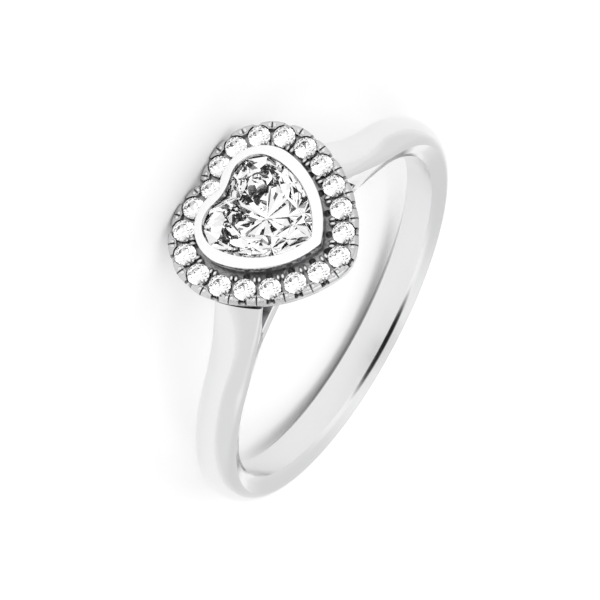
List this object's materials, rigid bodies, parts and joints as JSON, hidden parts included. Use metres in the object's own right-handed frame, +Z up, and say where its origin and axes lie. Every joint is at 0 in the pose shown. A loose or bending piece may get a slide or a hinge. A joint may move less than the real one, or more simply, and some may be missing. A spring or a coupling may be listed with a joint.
{
  "type": "heart halo ring",
  "caption": "Finger ring with a bezel-set heart stone inside a heart-shaped halo of small round stones, on straps that rise from a plain rounded band.",
  "frame": {"origin": "on the surface that the ring rests on, under the middle of its outline", "axes": "+Z up, with the finger's axis leaning about 10 degrees from it; the head faces -Y and the tip of the heart points up; X runs across the ring, which is the same on both sides"},
  "size_m": [0.0202, 0.023, 0.0084],
  "materials": {
    "polished_metal": "white gold, rhodium plated and mirror polished",
    "heart_gem": "clear colourless stone, polished facets",
    "halo_gem": "clear colourless stones, polished facets"
  },
  "bodies": {
    "root": {"ring_mount": "polished_metal", "heart_stone": "heart_gem", "halo_stone_01": "halo_gem", "halo_stone_02": "halo_gem", "halo_stone_03": "halo_gem", "halo_stone_04": "halo_gem", "halo_stone_05": "halo_gem", "halo_stone_06": "halo_gem", "halo_stone_07": "halo_gem", "halo_stone_08": "halo_gem", "halo_stone_09": "halo_gem", "halo_stone_10": "halo_gem", "halo_stone_11": "halo_gem", "halo_stone_12": "halo_gem", "halo_stone_13": "halo_gem", "halo_stone_14": "halo_gem", "halo_stone_15": "halo_gem", "halo_stone_16": "halo_gem", "halo_stone_17": "halo_gem", "halo_stone_18": "halo_gem", "halo_stone_19": "halo_gem", "halo_stone_20": "halo_gem"}
  },
  "joints": []
}
